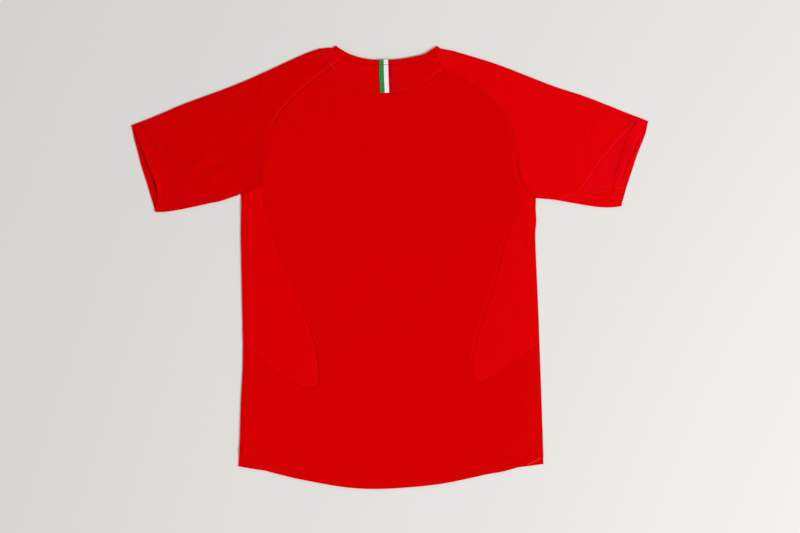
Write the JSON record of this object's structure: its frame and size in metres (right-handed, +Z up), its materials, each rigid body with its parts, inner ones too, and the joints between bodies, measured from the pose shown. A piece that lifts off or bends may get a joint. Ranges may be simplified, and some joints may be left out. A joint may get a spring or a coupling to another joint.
{
  "type": "football jersey",
  "caption": "Short-sleeved raglan football jersey laid flat, back upwards, with mesh side panels, cuff gussets, a curved yoke and hem, and a striped tape at the neck.",
  "frame": {"origin": "middle of the jersey's outline, on the surface that it lies on", "axes": "+X across the chest, from the left sleeve of the laid jersey to the right one; +Y from the hem to the neck; +Z up, out of the back"},
  "size_m": [0.8732, 0.7504, 0.006],
  "materials": {
    "jersey_knit": "fine smooth knitted polyester, matt with a slight sheen",
    "mesh_knit": "fine open mesh knit, matt",
    "rib_knit": "narrow ribbed knit, matt",
    "woven_tape": "woven tape in green, white and dark red stripes"
  },
  "bodies": {
    "root": {"back_panel": "jersey_knit", "front_panel": "jersey_knit", "sleeve_left": "jersey_knit", "sleeve_right": "jersey_knit", "back_yoke": "mesh_knit", "shoulder_yoke_left": "mesh_knit", "shoulder_yoke_right": "mesh_knit", "cuff_gusset_left": "mesh_knit", "cuff_gusset_right": "mesh_knit", "side_panel_left": "mesh_knit", "side_panel_right": "mesh_knit", "neckband": "rib_knit", "neck_tape": "woven_tape"}
  },
  "joints": []
}
